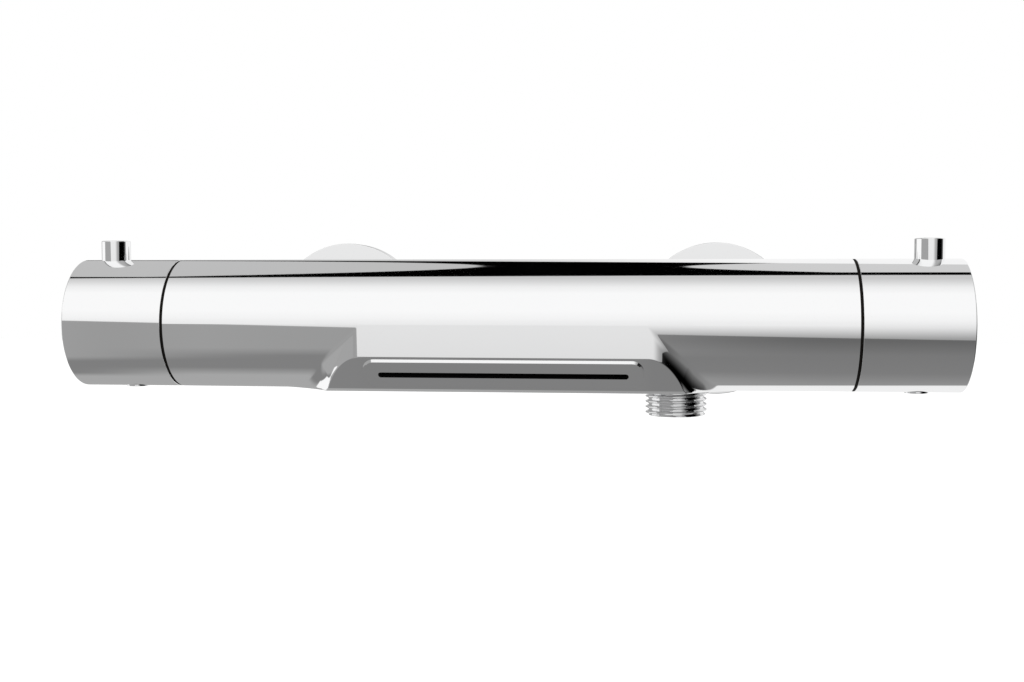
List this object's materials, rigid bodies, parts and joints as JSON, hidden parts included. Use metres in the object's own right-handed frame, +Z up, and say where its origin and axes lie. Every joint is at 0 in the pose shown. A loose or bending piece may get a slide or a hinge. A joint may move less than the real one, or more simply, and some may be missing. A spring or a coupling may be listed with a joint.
{
  "type": "thermostatic bath mixer tap",
  "caption": "Wall-mounted thermostatic bath mixer: a chromed tube with turning end handles, a waterfall spout under its front and a threaded hose outlet.",
  "frame": {"origin": "on the wall plane, midway between the axes of the two wall threads", "axes": "+X along the tube to the right as seen by the user, +Y into the wall, +Z up"},
  "size_m": [0.3054, 0.12, 0.0613],
  "materials": {
    "chrome": "polished plating",
    "brass": "as machined",
    "dark_plastic": "moulded",
    "pale_plastic": "moulded",
    "rubber": "matt",
    "ceramic": "lapped",
    "steel": "drawn wire"
  },
  "bodies": {
    "mixer": {"mixer_body": "chrome", "waterfall_insert": "chrome", "hose_nipple": "chrome", "hot_union_nut": "chrome", "cold_union_nut": "chrome", "hot_rosette": "chrome", "cold_rosette": "chrome", "hot_inlet_nipple": "chrome", "cold_inlet_nipple": "chrome", "hot_s_connector": "brass", "cold_s_connector": "brass", "temperature_retaining_nut": "brass", "flow_retaining_nut": "brass", "thermostat_housing": "brass", "diverter_housing": "brass", "temperature_glide_ring": "dark_plastic", "flow_glide_ring": "dark_plastic", "diverter_base": "dark_plastic", "temperature_stop_ring": "pale_plastic", "flow_stop_ring": "pale_plastic", "hot_check_housing": "pale_plastic", "cold_check_housing": "pale_plastic", "spring_seat": "pale_plastic", "waterfall_gasket": "rubber", "hose_nipple_seal": "rubber", "hot_inlet_seal": "rubber", "cold_inlet_seal": "rubber", "thermostat_o_rings": "rubber", "diverter_o_rings": "rubber", "diverter_seal": "rubber", "hot_filter_washer": "rubber", "cold_filter_washer": "rubber", "fixed_disc": "ceramic", "return_spring": "steel", "hot_check_spring": "steel", "cold_check_spring": "steel"},
    "temperature_handle": {"temperature_handle": "chrome", "temperature_lever_pin": "chrome", "temperature_spline_insert": "pale_plastic", "temperature_insert_screw": "steel", "thermostat_spindle": "brass", "safety_button_spring": "steel"},
    "flow_handle": {"flow_handle": "chrome", "flow_lever_pin": "chrome", "flow_spline_insert": "pale_plastic", "flow_insert_screw": "steel", "diverter_spindle": "brass", "moving_disc": "ceramic", "eco_button_spring": "steel"},
    "safety_button": {"safety_button": "chrome"},
    "eco_button": {"eco_button": "chrome"},
    "thermostat_slide": {"adjusting_capsule": "brass", "overload_spring": "steel", "wax_element": "brass", "regulating_spool": "pale_plastic"},
    "hot_check": {"hot_check_poppet": "pale_plastic"},
    "cold_check": {"cold_check_poppet": "pale_plastic"}
  },
  "joints": [
    {"name": "temperature_turn", "type": "hinge", "parent": "mixer", "child": "temperature_handle", "pos_m": [0, -0.082, 0.008], "axis": [1, 0, 0], "range_deg": [-150, 75]},
    {"name": "flow_turn", "type": "hinge", "parent": "mixer", "child": "flow_handle", "pos_m": [0, -0.082, 0.008], "axis": [1, 0, 0], "range_deg": [-90, 90]},
    {"name": "safety_button_press", "type": "slide", "parent": "temperature_handle", "child": "safety_button", "axis": [0, 0, 1], "range_m": [0, 0.002], "stiffness_N_per_m": 800, "springref_m": -0.001, "deforming": ["safety_button_spring"]},
    {"name": "eco_button_press", "type": "slide", "parent": "flow_handle", "child": "eco_button", "axis": [0, 0, 1], "range_m": [0, 0.002], "stiffness_N_per_m": 800, "springref_m": -0.001, "deforming": ["eco_button_spring"]},
    {"name": "thermostat_travel", "type": "slide", "parent": "mixer", "child": "thermostat_slide", "axis": [1, 0, 0], "range_m": [-0.0026, 0.0014], "deforming": ["return_spring"]},
    {"name": "hot_check_open", "type": "slide", "parent": "mixer", "child": "hot_check", "axis": [0, -1, 0], "range_m": [0, 0.0025], "stiffness_N_per_m": 100, "springref_m": -0.002, "deforming": ["hot_check_spring"]},
    {"name": "cold_check_open", "type": "slide", "parent": "mixer", "child": "cold_check", "axis": [0, -1, 0], "range_m": [0, 0.0025], "stiffness_N_per_m": 100, "springref_m": -0.002, "deforming": ["cold_check_spring"]}
  ],
  "couplings": [
    {"joint": "thermostat_travel", "follows": "temperature_turn", "m_per_rad": 0.00095493}
  ]
}
